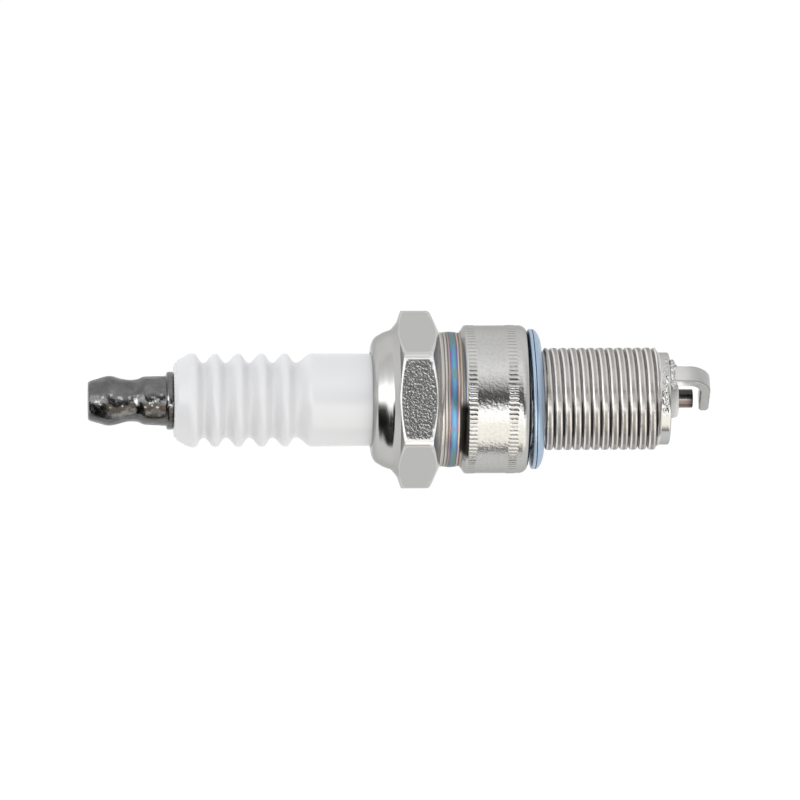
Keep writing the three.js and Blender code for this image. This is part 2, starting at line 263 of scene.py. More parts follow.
def paint(piece, name, value):
    """Stores value(station, radius, angle) at each point for the piece's material to read."""
    mesh = piece.data
    layer = mesh.attributes.new(name, "FLOAT", "POINT")
    layer.data.foreach_set("value", [value(*unpolar(v.co)) for v in mesh.vertices])


# ---------------------------------------------------------------- node materials

class Finish:
    """A material's node tree, with a short call for each kind of node used here."""

    def __init__(self, name):
        self.material = bpy.data.materials.new(name)
        self.material.use_nodes = True
        self.tree = self.material.node_tree
        self.surface = self.tree.nodes["Principled BSDF"]
        self.place = self.new("ShaderNodeTexCoord").outputs["Object"]

    def new(self, kind, **settings):
        node = self.tree.nodes.new(kind)
        for key, value in settings.items():
            setattr(node, key, value)
        return node

    def feed(self, socket, value):
        if isinstance(value, bpy.types.NodeSocket):
            self.tree.links.new(value, socket)
        else:
            socket.default_value = value

    def set(self, **inputs):
        for key, value in inputs.items():
            self.feed(self.surface.inputs[key.replace("_", " ")], value)

    def math(self, operation, a, b=0.0):
        node = self.new("ShaderNodeMath", operation=operation)
        self.feed(node.inputs[0], a)
        self.feed(node.inputs[1], b)
        return node.outputs[0]

    def station(self):
        """Distance along the axis from the gasket seat, in millimetres."""
        split = self.new("ShaderNodeSeparateXYZ")
        self.feed(split.inputs[0], self.place)
        return self.math("MULTIPLY", self.math("SUBTRACT", split.outputs[0], SEAT_X), 1 / MM)

    def between(self, value, low, high, soft):
        """1 between low and high, fading to 0 over soft on either side."""
        rise = self.spread(value, low - soft, low, 0, 1)
        fall = self.spread(value, high, high + soft, 1, 0)
        return self.math("MULTIPLY", rise, fall)

    def spread(self, value, low, high, to_low, to_high):
        node = self.new("ShaderNodeMapRange", interpolation_type="SMOOTHSTEP")
        self.feed(node.inputs["Value"], value)
        node.inputs["From Min"].default_value = low
        node.inputs["From Max"].default_value = high
        node.inputs["To Min"].default_value = to_low
        node.inputs["To Max"].default_value = to_high
        return node.outputs["Result"]

    def stretched(self, x, y, z):
        node = self.new("ShaderNodeVectorMath", operation="MULTIPLY")
        self.feed(node.inputs[0], self.place)
        node.inputs[1].default_value = (x, y, z)
        return node.outputs[0]

    def noise(self, size, detail=2.0, roughness=0.5, place=None, distortion=0.0):
        """Noise from 0 to 1 whose lumps measure size millimetres."""
        node = self.new("ShaderNodeTexNoise")
        self.feed(node.inputs["Vector"], self.place if place is None else place)
        node.inputs["Scale"].default_value = 1 / (size * MM)
        node.inputs["Detail"].default_value = detail
        node.inputs["Roughness"].default_value = roughness
        node.inputs["Distortion"].default_value = distortion
        return node.outputs["Fac"]

    def ramp(self, value, stops):
        """stops are (position, colour), with a grey given as one number."""
        node = self.new("ShaderNodeValToRGB")
        self.feed(node.inputs[0], value)
        elements = node.color_ramp.elements
        while len(elements) < len(stops):
            elements.new(1.0)
        for element, (position, colour) in zip(elements, stops):
            element.position = position
            grey = not isinstance(colour, tuple)
            element.color = (colour, colour, colour, 1) if grey else (*colour, 1)
        return node.outputs[0]

    def mix(self, share, a, b):
        """Mixes two colours."""
        node = self.new("ShaderNodeMix", data_type="RGBA")
        self.feed(node.inputs[0], share)
        for socket, colour in ((node.inputs[6], a), (node.inputs[7], b)):
            if isinstance(colour, tuple):
                colour = (*colour, 1)
            self.feed(socket, colour)
        return node.outputs[2]

    def blend(self, share, a, b):
        """Mixes two numbers."""
        node = self.new("ShaderNodeMix", data_type="FLOAT")
        self.feed(node.inputs[0], share)
        self.feed(node.inputs[2], a)
        self.feed(node.inputs[3], b)
        return node.outputs[0]

    def value(self, name):
        """A number stored in the mesh by paint()."""
        return self.new("ShaderNodeAttribute", attribute_name=name).outputs["Fac"]

    def bump(self, *layers):
        """Each layer is (height from 0 to 1, depth in millimetres)."""
        normal = None
        for height, depth in layers:
            node = self.new("ShaderNodeBump")
            node.inputs["Strength"].default_value = 1.0
            self.feed(node.inputs["Height"], height)
            node.inputs["Distance"].default_value = depth * MM
            if normal is not None:
                self.feed(node.inputs["Normal"], normal)
            normal = node.outputs[0]
        self.feed(self.surface.inputs["Normal"], normal)


NICKEL = (0.505, 0.505, 0.495)
THREADED = (2.0, 17.6)
TINTED = (-11.65, -9.0)


def nickel_finish():
    """Nickel over steel: pitted wrench flats, turned dome, blasted barrel, tinted neck."""
    f = Finish("nickel_plate")
    station = f.station()
    pitted = f.value("pitted")
    blasted = f.value("blasted")
    threads = f.between(station, *THREADED, 0.15)
    neck = f.between(station, *TINTED, 0.08)

    # heat tint: bands along the neck whose colours drift round the plug
    drift = f.noise(5.0, 2.0)
    wobble = f.math("MULTIPLY", f.math("SUBTRACT", drift, 0.5), 0.30)
    along = f.spread(f.math("ADD", station, wobble), -11.8, -8.8, 0, 1)
    along.node.interpolation_type = "LINEAR"
    tint = f.ramp(along, [
        (0.00, (0.46, 0.455, 0.45)), (0.12, (0.48, 0.47, 0.46)), (0.135, (0.16, 0.10, 0.07)),
        (0.16, (0.62, 0.58, 0.52)), (0.22, (0.42, 0.41, 0.40)), (0.26, (0.24, 0.20, 0.18)),
        (0.32, (0.40, 0.37, 0.35)), (0.36, (0.32, 0.13, 0.16)), (0.385, (0.16, 0.13, 0.40)),
        (0.43, (0.10, 0.26, 0.44)), (0.53, (0.15, 0.37, 0.50)), (0.62, (0.10, 0.25, 0.42)),
        (0.66, (0.17, 0.13, 0.36)), (0.685, (0.30, 0.11, 0.12)), (0.72, (0.60, 0.54, 0.46)),
        (0.78, (0.42, 0.40, 0.38)), (0.81, (0.18, 0.10, 0.07)), (0.84, (0.42, 0.37, 0.32)),
        (1.00, (0.40, 0.38, 0.36)),
    ])
    blue_band = f.between(station, -10.55, -9.95, 0.18)
    green = f.ramp(f.noise(3.4, 3.0, 0.6), [(0.46, 0.0), (0.60, 0.9)])
    tint = f.mix(f.math("MULTIPLY", green, blue_band), tint, (0.17, 0.27, 0.23))
    violet = f.ramp(f.noise(2.1, 3.0, 0.6, distortion=0.6), [(0.53, 0.0), (0.64, 0.8)])
    tint = f.mix(f.math("MULTIPLY", violet, blue_band), tint, (0.24, 0.18, 0.44))
    gold = f.noise(2.6, 3.0, 0.6, place=f.stretched(1.0, 1.3, 0.8))
    gold = f.ramp(gold, [(0.62, 0.0), (0.70, 0.8)])
    tint = f.mix(f.math("MULTIPLY", gold, blue_band), tint, (0.33, 0.27, 0.14))

    # faint yellowing and small brown stains, most of them near the seat
    clouds = f.ramp(f.noise(4.0, 4.0, 0.6), [(0.35, 0.0), (0.75, 0.5)])
    base = f.mix(clouds, NICKEL, (0.46, 0.445, 0.42))
    stains = f.ramp(f.noise(0.9, 5.0, 0.7), [(0.63, 0.0), (0.72, 0.75)])
    near_seat = f.between(station, -1.7, -0.1, 0.6)
    base = f.mix(f.math("MULTIPLY", stains, near_seat), base, (0.30, 0.21, 0.14))

    # thread: brownish crests; flanks painted bright as painted reflections, brightest on those
    # facing the terminal; grooves painted light as painted reflection, darker below the axis as
    # painted shade
    rust = f.ramp(f.noise(1.2, 4.0, 0.6), [(0.35, 0.0), (0.70, 1.0)])
    crest = f.mix(rust, (0.40, 0.385, 0.37), (0.35, 0.31, 0.28))
    flank = f.value("flank")
    left_flank = f.ramp(flank, [(0.86, 0.0), (0.97, 1.0)])
    right_flank = f.ramp(flank, [(0.03, 1.0), (0.14, 0.0)])
    groove = f.ramp(f.value("height"), [(0.30, 1.0), (0.72, 0.0)])
    # painted shade on the thread's lower side, and a painted highlight along its top
    crest = f.mix(f.value("thread_shade"), crest, (0.20, 0.185, 0.17))
    crest = f.mix(f.value("thread_highlight"), crest, (0.60, 0.57, 0.54))
    # painted reflections: bright flanks and light grooves, with painted shade in the grooves below
    # the axis
    crest = f.mix(left_flank, crest, (0.84, 0.83, 0.815))
    crest = f.mix(right_flank, crest, (0.62, 0.605, 0.59))
    shaded = f.value("shaded")
    crest = f.mix(groove, crest, f.mix(shaded, (0.78, 0.77, 0.76), (0.40, 0.385, 0.37)))
    base = f.mix(threads, base, crest)
    base = f.mix(pitted, base, (0.50, 0.50, 0.49))
    # polished edges, with a painted highlight on the flat facing +Z
    base = f.mix(f.value("rim"), base, (0.93, 0.93, 0.91))
    # painted light: the cone down to the neck is coloured lighter over its shade
    base = f.mix(f.value("bevel"), base, (0.78, 0.78, 0.77))
    # painted shade in the grooves between the knurl's teeth
    base = f.mix(f.value("knurl_groove_shade"), base, (0.36, 0.35, 0.335))
    base = f.mix(neck, base, tint)
    # painted shade: a near-black patch on the cone between the neck and the barrel, below the axis
    dark = f.math("MULTIPLY", shaded, f.between(station, -9.35, -8.3, 0.12))
    base = f.mix(dark, base, (0.03, 0.028, 0.025))
    grain = f.noise(0.34, 2.0, 0.55)
    speckle = f.ramp(grain, [(0.50, 0.0), (0.60, 0.28)])
    base = f.mix(f.math("MULTIPLY", speckle, blasted), base, (0.38, 0.37, 0.355))

    lines = f.noise(1.0, 3.0, 0.7, place=f.stretched(12.0, 0.35, 0.35))
    plain = f.math("SUBTRACT", 1.0, f.math("MAXIMUM", pitted, blasted))
    nicks = f.noise(0.50, 3.0, 0.6)
    wear = f.noise(1.6, 3.0, 0.6)
    gloss = f.spread(wear, 0.3, 0.7, 0.10, 0.18)
    for share, roughness in (
        (threads, 0.32), (neck, 0.36), (blasted, 0.17), (pitted, 0.20), (f.value("rim"), 0.55),
    ):
        gloss = f.blend(share, gloss, roughness)
    f.set(
        Base_Color=base,
        Metallic=1.0,
        Roughness=gloss,
        Specular_Tint=(0.62, 0.62, 0.62, 1),
    )
    f.bump(
        (f.math("MULTIPLY", grain, pitted), 0.050),
        (f.math("MULTIPLY", grain, blasted), 0.030),
        (f.math("MULTIPLY", nicks, threads), 0.075),
        (f.math("MULTIPLY", lines, plain), 0.012),
    )
    return f.material


def glazed_finish():
    """Glazed white alumina. The nose past the shell is bare and matte."""
    f = Finish("glazed_alumina")
    station = f.station()
    bare = f.spread(station, 5.0, 6.0, 0, 1)
    clouds = f.noise(6.0, 3.0, 0.5)
    glaze = f.mix(clouds, (0.655, 0.665, 0.685), (0.685, 0.685, 0.695))
    specks = f.ramp(f.noise(0.5, 2.0, 0.5), [(0.76, 0.0), (0.80, 0.25)])
    glaze = f.mix(specks, glaze, (0.55, 0.53, 0.50))
    mottled = f.mix(f.noise(0.5, 4.0, 0.6), (0.60, 0.60, 0.60), (0.72, 0.715, 0.71))
    ripple = f.noise(2.2, 2.0, 0.4, place=f.stretched(1.0, 0.5, 0.5))
    grit = f.noise(0.12, 3.0, 0.6)
    f.set(
        Base_Color=f.mix(bare, glaze, mottled),
        Roughness=f.blend(bare, f.spread(clouds, 0.3, 0.7, 0.30, 0.42), 0.62),
        IOR=1.55,
        Subsurface_Weight=0.12,
        Subsurface_Scale=0.0012,
        Coat_Weight=f.blend(bare, 0.35, 0.0),
        Coat_Roughness=0.12,
    )
    f.surface.inputs["Subsurface Radius"].default_value = (1.0, 0.95, 0.9)
    f.bump(
        (ripple, 0.018),
        (f.math("MULTIPLY", grit, bare), 0.02),
    )
    return f.material


def terminal_finish():
    """Dark nickel-dipped steel with an uneven, mottled surface, with painted glints and painted
    dark reflections in bands of angles.
    """
    f = Finish("terminal_steel")
    patches = f.noise(1.5, 3.0, 0.6, distortion=0.4)
    base = f.ramp(patches, [
        (0.30, (0.105, 0.103, 0.101)), (0.50, (0.138, 0.138, 0.139)), (0.75, (0.175, 0.175, 0.18)),
    ])
    # painted dark reflections: near-black patches in one band of angles
    dark_reflection = f.noise(1.3, 4.0, 0.6, place=f.stretched(0.6, 1.0, 1.0))
    dark_reflection = f.ramp(dark_reflection, [(0.44, 0.0), (0.55, 0.85)])
    base = f.mix(f.math("MULTIPLY", dark_reflection, f.value("dark_reflection_band")), base, (0.042, 0.035, 0.027))
    # painted glints: bright patches in the band of angles beside it
    highlight = f.ramp(f.noise(0.75, 2.0, 0.5), [(0.54, 0.0), (0.64, 1.0)])
    base = f.mix(f.math("MULTIPLY", highlight, f.value("highlight")), base, (0.50, 0.495, 0.485))
    f.set(
        Base_Color=base,
        Metallic=1.0,
        Roughness=f.spread(f.noise(0.9, 3.0, 0.6), 0.3, 0.7, 0.16, 0.28),
    )
    f.bump((f.noise(0.85, 2.0, 0.5), 0.070), (f.noise(0.34, 2.0, 0.6), 0.006))
    return f.material


def gasket_finish():
    """Blued zinc on thin folded steel."""
    f = Finish("blued_zinc")
    streaks = f.noise(1.0, 3.0, 0.6, place=f.stretched(6.0, 0.5, 0.5))
    base = f.mix(streaks, (0.36, 0.47, 0.59), (0.40, 0.51, 0.64))
    tint = f.ramp(f.noise(2.6, 2.0), [(0.45, 0.0), (0.70, 0.4)])
    base = f.mix(tint, base, (0.37, 0.42, 0.55))
    # painted shade in the notch of the gasket's seam
    base = f.mix(f.value("seam_shade"), base, (0.07, 0.09, 0.11))
    f.set(
        Base_Color=base,
        Metallic=1.0,
        Roughness=f.spread(f.noise(0.8, 3.0, 0.6), 0.3, 0.7, 0.34, 0.46),
    )
    f.bump((f.noise(0.3, 3.0, 0.6), 0.010))
    return f.material


def nickel_alloy_finish():
    """Satin drawn nickel alloy, warm grey."""
    f = Finish("nickel_alloy")
    clouds = f.noise(1.2, 4.0, 0.6)
    base = f.mix(clouds, (0.52, 0.515, 0.505), (0.62, 0.61, 0.60))
    base = f.mix(f.value("dulled"), base, (0.40, 0.40, 0.39))
    # painted highlight on the bar's sides and the leg's face towards the electrode
    base = f.mix(f.value("side_highlight"), base, (0.97, 0.96, 0.95))
    # painted shade along the bar's rounded edges
    base = f.mix(f.value("edge"), base, (0.22, 0.22, 0.215))
    f.set(
        Base_Color=base,
        Metallic=1.0,
        Roughness=f.spread(f.noise(0.5, 3.0, 0.6), 0.3, 0.7, 0.30, 0.44),
    )
    f.bump((f.noise(0.22, 3.0, 0.6), 0.010))
    return f.material


def weld_finish():
    """Rough bright flash left by the weld."""
    f = Finish("weld_flash")
    clouds = f.noise(0.5, 4.0, 0.6)
    base = f.ramp(clouds, [
        (0.36, (0.20, 0.195, 0.185)), (0.50, (0.44, 0.435, 0.42)), (0.66, (0.70, 0.69, 0.67)),
    ])
    f.set(Base_Color=base, Metallic=1.0, Roughness=f.spread(clouds, 0.3, 0.7, 0.12, 0.30))
    f.bump((f.noise(0.34, 3.0, 0.6), 0.05))
    return f.material


def electrode_finish():
    """Dark tip of the centre electrode, lathe-turned, browned near the insulator, with brown
    scorching painted paler on the side towards -Y as painted light, and a painted highlight along
    the top.
    """
    f = Finish("electrode_tip")
    station = f.station()
    lines = f.noise(1.0, 2.0, 0.6, place=f.stretched(9.0, 0.4, 0.4))
    base = f.mix(lines, (0.03, 0.03, 0.03), (0.062, 0.062, 0.065))
    brown = f.math("MULTIPLY", f.noise(0.8, 3.0, 0.6), f.spread(station, 19.5, 22.0, 0.6, 0.1))
    base = f.mix(brown, base, (0.11, 0.085, 0.07))
    pale = f.mix(f.noise(0.6, 3.0, 0.6), (0.12, 0.11, 0.105), (0.26, 0.19, 0.165))
    # brown scorching, painted paler on the side towards -Y as painted light
    base = f.mix(f.value("scorched_lit_side"), base, pale)
    # painted highlight along the top
    base = f.mix(f.value("electrode_highlight"), base, (0.42, 0.41, 0.39))
    f.set(Base_Color=base, Metallic=1.0, Roughness=f.spread(lines, 0.3, 0.7, 0.16, 0.30))
    f.bump((lines, 0.008), (f.noise(0.2, 2.0), 0.006))
    return f.material


def plain_finish(name, dark, light, size, roughness, metallic=0.0, depth=0.01, stretch=None):
    """A mottled material for the pieces inside the plug."""
    f = Finish(name)
    place = f.stretched(*stretch) if stretch else None
    pattern = f.noise(size, 4.0, 0.6, place=place)
    f.set(
        Base_Color=f.mix(f.spread(pattern, 0.3, 0.7, 0, 1), dark, light),
        Metallic=metallic,
        Roughness=f.spread(pattern, 0.3, 0.7, roughness * 0.8, min(1.0, roughness * 1.2)),
    )
    f.bump((pattern, depth))
    return f.material


# ---------------------------------------------------------------- shell

HEX_APOTHEM = (shell_high.z - shell_low.z) / MM / 2
HEX_CORNER_ROUND = 0.85
HEX_LOW, HEX_HIGH = -17.6, -11.95
HEX_ROW = 0.055
HEX_FLAT_END = math.radians(27.2)
BLANK_RADIUS = 12.6
BLANK_FINE = 12.4
DOME_END, DOME_END_RADIUS = -17.43, 10.4
BEVEL_MIDDLE, BEVEL_RADIUS = -12.99, 11.5
BARREL = 9.9
KNURL_TEETH = 98
KNURL_BANDS = ((-8.2, -7.25), (-2.85, -1.8))
THREAD_START, THREAD_END = 2.05, 17.5
THREAD_PHASE = 0.88
THREAD_ROOT, THREAD_CREST = 6.30, 6.84
THREAD_PITCH = 1.25
TIP_RADIUS = 6.19
BAR_ANGLE = math.radians(57)


def hexagon(angle):
    """Distance from the axis to the hexagon's side, with its six corners rounded."""
    from_flat = abs((angle - TOP + math.pi / 6) % (math.pi / 3) - math.pi / 6)
    inner = HEX_APOTHEM - HEX_CORNER_ROUND
    tangent = math.atan2(inner * math.tan(math.pi / 6), HEX_APOTHEM)
    if from_flat <= tangent:
        return HEX_APOTHEM / math.cos(from_flat)
    centre = inner / math.cos(math.pi / 6)
    from_corner = math.pi / 6 - from_flat
    offset = centre * math.sin(from_corner)
    return centre * math.cos(from_corner) + math.sqrt(HEX_CORNER_ROUND ** 2 - offset ** 2)


def hexagon_blank(station):
    """The turned blank that bevels both ends of the hexagon."""
    slope = 1.25 if station < DOME_END else 3.0
    left = DOME_END_RADIUS + (station - DOME_END) * slope
    right = BEVEL_RADIUS - (station - BEVEL_MIDDLE) * 2.15
    return smooth_min(smooth_min(left, right, 0.3), BLANK_RADIUS, 0.3)


def knurled(station):
    """Radius of the barrel at a station, as a function of the angle, with the knurl's teeth."""
    depth = max(window(station, low, high, 0.16) for low, high in KNURL_BANDS)

    def radius(angle):
        tooth = 0.5 + 0.5 * math.cos(KNURL_TEETH * angle)
        uneven = 1 + 0.25 * noise.noise(Vector((angle * 9, station * 0.4, 3.1)))
        return BARREL + depth * (0.07 * tooth ** 0.7 - 0.035) * uneven

    return radius


def spattered(station):
    """Radius of the plain tip, as a function of the angle, rough beside the bar's weld."""
    near_end = smoothstep(17.6, 18.3, station)

    def radius(angle):
        near_bar = window(math.degrees(wrap(angle - BAR_ANGLE)), -18, 46, 14)
        spot = polar(station, TIP_RADIUS, angle)
        lumps = rough(spot, 0.55, 2.0) + 0.6 * rough(spot, 0.28, 4.0)
        return TIP_RADIUS + near_end * near_bar * (0.20 * lumps + 0.05)

    return radius


def shell_piece():
    body = Turned()
    body.rings(rounded([
        (-20.4, 6.35), (-20.96, 6.35, 0.1), (-20.98, 6.75, 0.12), (-20.88, 7.45, 0.25),
        (-20.64, 8.02, 0.2), (-20.34, 8.40, 0.15), (-19.3, 9.02, 0.35), (-18.36, 9.33, 0.12),
        (-18.2, 9.44, 0.1), (-17.65, 10.1),
    ], steps=8), 240)

    station = HEX_LOW
    while station < HEX_HIGH:
        blank = hexagon_blank(station)
        body.ring(station, lambda angle: smooth_min(blank, hexagon(angle), 0.22), 720)
        station += HEX_ROW if blank < BLANK_FINE else HEX_ROW * 6

    body.rings(rounded([
        (-11.9, 9.12), (-11.78, 9.0, 0.08), (-11.5, 8.98, 0.05), (-11.44, 8.90, 0.04),
        (-11.36, 9.0, 0.05), (-11.06, 9.03, 0.05), (-11.0, 8.96, 0.04), (-10.92, 9.05, 0.05),
        (-10.4, 9.08, 0.3), (-9.62, 9.0, 0.1), (-9.50, 8.98, 0.05), (-9.42, 8.88, 0.04),
        (-9.33, 8.94, 0.05), (-9.12, 8.93, 0.1), (-8.96, 9.16, 0.12), (-8.56, 9.82, 0.2),
        (-8.46, BARREL - 0.02),
    ], steps=4, support=0.015), 240)

    for low, high in KNURL_BANDS:
        for station in (low - 0.24, low - 0.20):
            body.ring(station, BARREL, 800)
        for share in range(17):
            station = low - 0.18 + (high - low + 0.36) * share / 16
            body.ring(station, knurled(station), 800)
        for station in (high + 0.20, high + 0.26):
            body.ring(station, BARREL, 800)

    body.rings(rounded([
        (-1.25, BARREL), (-1.0, BARREL, 0.15), (-0.6, 9.78, 0.2), (-0.25, 9.50, 0.15),
        (-0.02, 9.0, 0.12), (0.0, 6.7, 0.08), (0.2, 6.5, 0.1), (THREAD_START - 0.1, 6.5),
    ], steps=6), 240)
    body.thread(THREAD_START, THREAD_END, THREAD_PITCH, THREAD_ROOT, THREAD_CREST, 0.35, 192,
                phase=THREAD_PHASE - THREAD_PITCH)
    station = THREAD_END + 0.1
    while station < REACH - 0.36:
        body.ring(station, spattered(station), 360)
        station += 0.06
    body.rings(rounded([
        (REACH - 0.35, TIP_RADIUS), (REACH - 0.3, TIP_RADIUS), (REACH, TIP_RADIUS, 0.28),
        (REACH, 4.7, 0.2), (9.0, 4.7, 0.2), (8.2, 4.0, 0.1), (7.2, 4.0, 0.1), (6.3, 5.1),
        (-2.1, 5.1), (-4.4, 7.8), (-19.7, 7.8), (-20.5, 6.4),
    ], steps=5), 120)
    body.close()

    piece = build(
        "shell_plated", body.points, body.faces, nickel_finish(), "plug",
        ["shell"], 35,
    )

    def facing(angle):
        """1 on the hexagon's flat sides, fading to 0 at its corners."""
        return 1 - smoothstep(0.0, 0.25, hexagon(angle) - HEX_APOTHEM / math.cos(HEX_FLAT_END))

    def margin(angle):
        """Width of the polished edge, as a difference in radius."""
        return 0.16 + 0.55 * (hexagon(angle) - HEX_APOTHEM)

    def pitted(station, radius, angle):
        if not HEX_LOW < station < HEX_HIGH:
            return 0.0
        gap = hexagon_blank(station) - hexagon(angle) - margin(angle)
        return smoothstep(0.0, 0.14, gap) * facing(angle)

    def rim(station, radius, angle):
        """The polished edges between the pitted flats and the bevels, made brightest on the flat
        facing +Z by a painted highlight.
        """
        if not HEX_LOW < station < HEX_HIGH:
            return 0.0
        gap = hexagon_blank(station) - hexagon(angle)
        # painted highlight: the polished rim is brightest on the flat facing +Z
        highlight = 0.25 + 0.75 * window(math.degrees(wrap(angle - TOP)), -28, 28, 4)
        return window(gap, -0.05, margin(angle), 0.08) * facing(angle) * highlight

    def on_barrel(radius):
        return radius > BARREL - 0.2

    # painted shade: darker colour in the grooves between the knurl's teeth
    def knurl_groove_shade(station, radius, angle):
        depth = max(window(station, low, high, 0.1) for low, high in KNURL_BANDS)
        tooth = 0.5 + 0.5 * math.cos(KNURL_TEETH * angle)
        return depth * smoothstep(0.35, 0.0, tooth) * on_barrel(radius)

    def bevel(station, radius, angle):
        """The cone that runs down to the neck, coloured lighter over its shade as painted light.
        """
        gap = hexagon_blank(station) - hexagon(angle)
        return window(station, -13.6, -11.85, 0.1) * smoothstep(0.05, -0.05, gap)

    def flank(station, radius, angle):
        """0 on flanks that face the firing end, 1 on flanks that face the terminal."""
        share = (station - THREAD_START - THREAD_PHASE) / THREAD_PITCH - angle / (2 * math.pi)
        return 0.5 + 0.5 * math.sin(2 * math.pi * share)

    def height(station, radius, angle):
        """0 at the thread's root, 1 at its crest."""
        return (radius - THREAD_ROOT) / (THREAD_CREST - THREAD_ROOT)

    paint(piece, "pitted", pitted)
    paint(piece, "rim", rim)
    paint(piece, "bevel", bevel)
    paint(piece, "knurl_groove_shade", knurl_groove_shade)
    paint(piece, "blasted", lambda s, r, a: window(s, -8.1, -1.0, 0.3) * on_barrel(r))
    # painted shade below the axis, for the thread's grooves and the cone by the neck
    paint(piece, "shaded", lambda s, r, a: window(math.degrees(a), 98, 138, 8))
    # painted highlight along the top of the thread, and painted shade on its lower side
    paint(piece, "thread_highlight", lambda s, r, a: 0.8 * window(math.degrees(a), 87, 100, 6))
    paint(piece, "thread_shade", lambda s, r, a: 0.8 * window(degrees_from_minus_y(a), -70, -30, 8))
    paint(piece, "flank", flank)
    paint(piece, "height", height)


# ---------------------------------------------------------------- insulator

RIBS = (-44.72, -41.72, -38.62, -35.5, -32.38)
BODY_RADIUS = 6.23
WAIST_RADIUS = 5.03


def curve(start, first, end, last, steps=9):
    """Profile points that run smoothly from one radius to another, level at both ends."""
    points = []
    for step in range(steps + 1):
        share = step / steps
        ease = 0.5 - 0.5 * math.cos(math.pi * share) + 0.03 * math.sin(-2 * math.pi * share)
        points.append((start + (end - start) * share, first + (last - first) * ease))
    return points


def insulator_piece():
    profile = [(-47.3, 2.3), (-47.35, 2.35)]
    profile += rounded([
        (-47.35, 4.75, 0.25), (-46.9, 5.35, 0.35), (RIBS[0] - 0.5, 6.29, 0.55), (RIBS[0], 6.3),
    ])
    top = 6.3
    for index, crest in enumerate(RIBS):
        valley = crest + 1.36
        after = RIBS[index + 1] - 0.1 if index + 1 < len(RIBS) else crest + 3.6
        profile += curve(crest + 0.03, top, valley, WAIST_RADIUS)
        profile += curve(valley, WAIST_RADIUS, after, BODY_RADIUS)[1:]
        top = BODY_RADIUS
    profile += rounded([
        (RIBS[-1] + 3.7, BODY_RADIUS), (-22.0, 6.18), (-15.6, 6.18, 0.2), (-14.9, 7.6, 0.2),
        (-4.6, 7.6, 0.3), (-2.3, 4.85, 0.3), (5.9, 4.85, 0.1), (6.8, 3.7, 0.1), (7.3, 3.6, 0.1),
        (19.0, 2.66), (20.28, 2.56, 0.55), (20.28, 1.40, 0.1), (-3.0, 1.40), (-3.0, 2.3),
    ])
    body = Turned()
    body.rings(profile, 160)
    body.close()
    build(
        "insulator_glazed", body.points, body.faces, glazed_finish(), "plug",
        ["insulator"],
    )


# ---------------------------------------------------------------- terminal

def terminal_nut_piece():
    profile = rounded([
        (-58.8, 0), (-58.8, 2.44, 0.10), (-58.55, 2.68, 0.2), (-57.5, 2.98, 0.6),
        (-56.3, 3.33, 0.5), (-55.5, 3.34, 0.7), (-54.4, 2.98, 0.8), (-53.3, 2.76, 0.6),
        (-52.2, 2.82, 0.5), (-51.4, 3.24, 0.5), (-49.6, 3.27, 0.8), (-48.38, 3.34, 0.12),
        (-48.28, 3.80, 0.12), (-48.0, 3.90, 0.15), (-47.42, 3.86, 0.22), (-47.42, 2.4, 0.1),
        (-47.8, 2.2),
    ])
    body = Turned()
    body.rings(profile, 160)
    body.rings([(-56.4, 2.2), (-57.3, 0)], 160)
    uneven = []
    for point in body.points:
        station, radius, angle = unpolar(point)
        if radius > 2.35:
            lump = 0.060 * rough(point, 1.6, 5.0) + 0.022 * rough(point, 0.6, 9.0)
            point = polar(station, radius + lump, angle)
        uneven.append(point)
    piece = build(
        "terminal_nut_cap", uneven, body.faces, terminal_finish(), "nut",
        ["terminal_nut"], 50,
    )

    def beside(angle, low, high):
        """1 within a band of angles that is repeated three times round the terminal."""
        turn = math.degrees(wrap(angle - math.radians(30))) % 120
        return window(turn, low, high, 6)

    # painted glints in one band of angles, and painted dark reflections in the band beside it
    paint(piece, "highlight", lambda s, r, a: beside(a, 48, 74))
    paint(piece, "dark_reflection_band", lambda s, r, a: beside(a, 68, 105))


def terminal_stud_piece():
    body = Turned()
    body.rings(rounded([(-56.2, 0), (-56.2, 1.5, 0.1), (-55.9, 1.72)]), 64)
    body.thread(-55.85, -47.6, 0.7, 1.72, 2.0, 0.35, 64, 8)
    body.rings(rounded([
        (-47.5, 1.9, 0.1), (-27.6, 1.9, 0.2), (-27.6, 1.4, 0.1), (-24.0, 1.4, 0.3), (-24.0, 0),
    ]), 64)
    material = plain_finish(
        "stud_steel", (0.36, 0.36, 0.36), (0.52, 0.52, 0.52), 0.8, 0.35, 1.0, 0.006,
        (6.0, 0.5, 0.5),
    )
    build(
        "terminal_stud_threaded", body.points, body.faces, material, "plug",
        ["terminal_stud"],
    )


# ---------------------------------------------------------------- gasket

